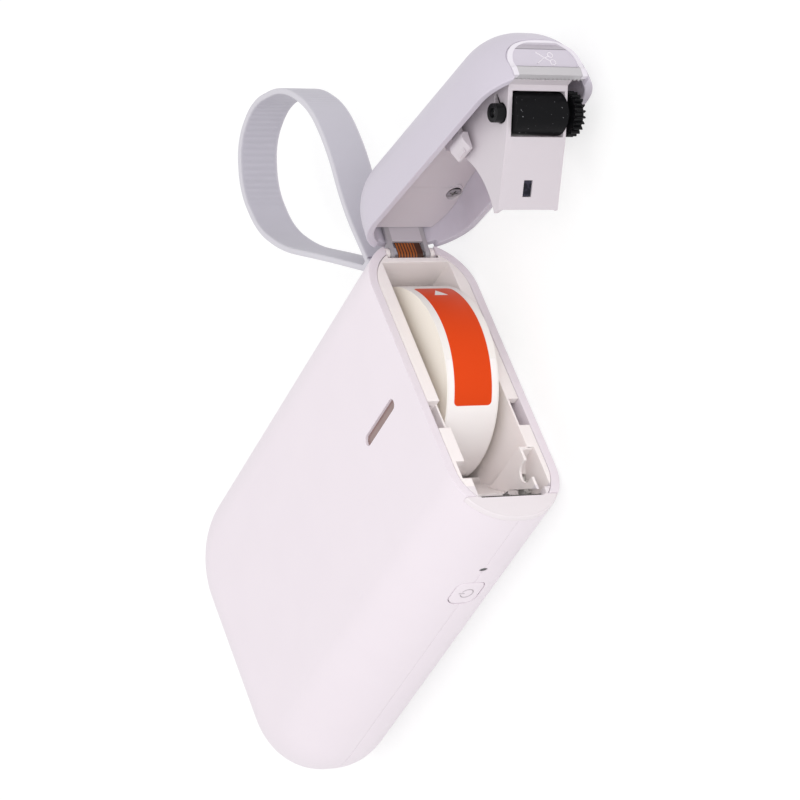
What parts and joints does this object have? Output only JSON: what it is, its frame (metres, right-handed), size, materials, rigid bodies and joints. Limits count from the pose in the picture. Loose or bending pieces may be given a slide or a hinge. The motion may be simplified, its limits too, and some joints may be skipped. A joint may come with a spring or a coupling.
{
  "type": "portable label printer",
  "caption": "Pocket thermal label printer with a hinged lid shown open, a label roll in its bay, a rubber feed roller in the lid and a moulded wrist strap.",
  "frame": {"origin": "centre of the body's flat back face, on which the printer lies", "axes": "+X towards the exit side, -X the hinge and strap side; +Y along the body towards the lid; +Z out of the front face"},
  "size_m": [0.1383, 0.1821, 0.027],
  "materials": {
    "case_white": "fine satin moulded plastic",
    "lid_lilac": "fine satin moulded plastic",
    "liner_white": "satin moulded plastic",
    "bay_white": "satin moulded plastic",
    "window_tint": "tinted clear plastic",
    "steel": "bright steel",
    "spring_steel": "spring wire",
    "motor_can": "plated can",
    "board_green": "glass-fibre board with solder mask",
    "battery_foil": "pouch foil",
    "socket_shell": "drawn steel shell",
    "black_plastic": "moulded black plastic",
    "led_white": "moulded lamp body",
    "light_dark": "dark clear plastic",
    "ribbon_amber": "amber film with copper tracks",
    "strap_grey": "soft matt moulded band",
    "cutter_grey": "pale satin plastic",
    "sensor_black": "dark sensor window",
    "hinge_grey": "grey moulded plastic",
    "platen_rubber": "ground silicone rubber",
    "label_paper": "coated white paper",
    "core_card": "plain card",
    "brass": "turned brass",
    "gear_white": "natural acetal",
    "head_ceramic": "glazed ceramic",
    "aluminium": "bare plate"
  },
  "bodies": {
    "body": {"back_shell": "case_white", "battery": "battery_foil", "board_screws": "steel", "front_shell": "case_white", "gear_axles": "steel", "head_pin": "steel", "head_springs": "spring_steel", "hinge_pin": "steel", "hinge_ribbon": "ribbon_amber", "light_pipe": "light_dark", "main_board": "board_green", "roll_bay": "bay_white", "side_board": "board_green", "status_led": "led_white", "stepper_motor": "motor_can", "tact_switch": "black_plastic", "usb_board": "board_green", "usb_socket": "socket_shell", "window_lens": "window_tint", "wrist_strap": "strap_grey"},
    "lid": {"cutter_bar": "cutter_grey", "exit_frame": "lid_lilac", "front_bush": "black_plastic", "gap_sensor": "sensor_black", "hinge_bracket": "hinge_grey", "lid_liner": "liner_white", "lid_screws": "steel", "lid_shell": "lid_lilac", "rear_bush": "black_plastic"},
    "platen": {"platen_roller": "platen_rubber", "platen_shaft": "steel", "roller_gear": "black_plastic"},
    "label_roll": {"label_core": "core_card", "label_paper": "label_paper"},
    "rotor": {"motor_pinion": "brass", "motor_shaft": "steel"},
    "reduction": {"reduction_gear": "gear_white"},
    "idler": {"idler_gear": "gear_white"},
    "button": {"power_button": "case_white"},
    "head": {"head_bracket": "aluminium", "print_head": "head_ceramic"}
  },
  "joints": [
    {"name": "lid_hinge", "type": "hinge", "parent": "body", "child": "lid", "pos_m": [-0.0346, 0.0553, 0], "axis": [0, 0, 1], "range_deg": [-81, 0]},
    {"name": "platen_turn", "type": "hinge", "parent": "lid", "child": "platen", "pos_m": [-0.02486, 0.11359, 0], "axis": [0, 0, 1], "continuous": true},
    {"name": "idler_turn", "type": "hinge", "parent": "body", "child": "idler", "pos_m": [0.0245, 0.0459, 0], "axis": [0, 0, 1], "continuous": true},
    {"name": "reduction_turn", "type": "hinge", "parent": "body", "child": "reduction", "pos_m": [0.0251, 0.03908, 0], "axis": [0, 0, 1], "continuous": true},
    {"name": "motor_turn", "type": "hinge", "parent": "body", "child": "rotor", "pos_m": [0.02322, 0.03207, 0], "axis": [0, 0, 1], "continuous": true},
    {"name": "roll_turn", "type": "hinge", "parent": "body", "child": "label_roll", "pos_m": [-0.009, 0.0416, 0], "axis": [0, 0, 1], "continuous": true},
    {"name": "button_press", "type": "slide", "parent": "body", "child": "button", "axis": [-1, 0, 0], "range_m": [0, 0.0004], "stiffness_N_per_m": 2000, "springref_m": -0.0005},
    {"name": "head_rock", "type": "hinge", "parent": "body", "child": "head", "pos_m": [0.02571, 0.04679, 0], "axis": [0, 0, 1], "range_deg": [-1.5, 0], "stiffness_Nm_per_rad": 0.5, "springref_deg": 2.86}
  ],
  "couplings": [
    {"joint": "idler_turn", "follows": "platen_turn", "ratio": -1},
    {"joint": "reduction_turn", "follows": "platen_turn", "ratio": 1.8333},
    {"joint": "motor_turn", "follows": "platen_turn", "ratio": -3.6667}
  ]
}
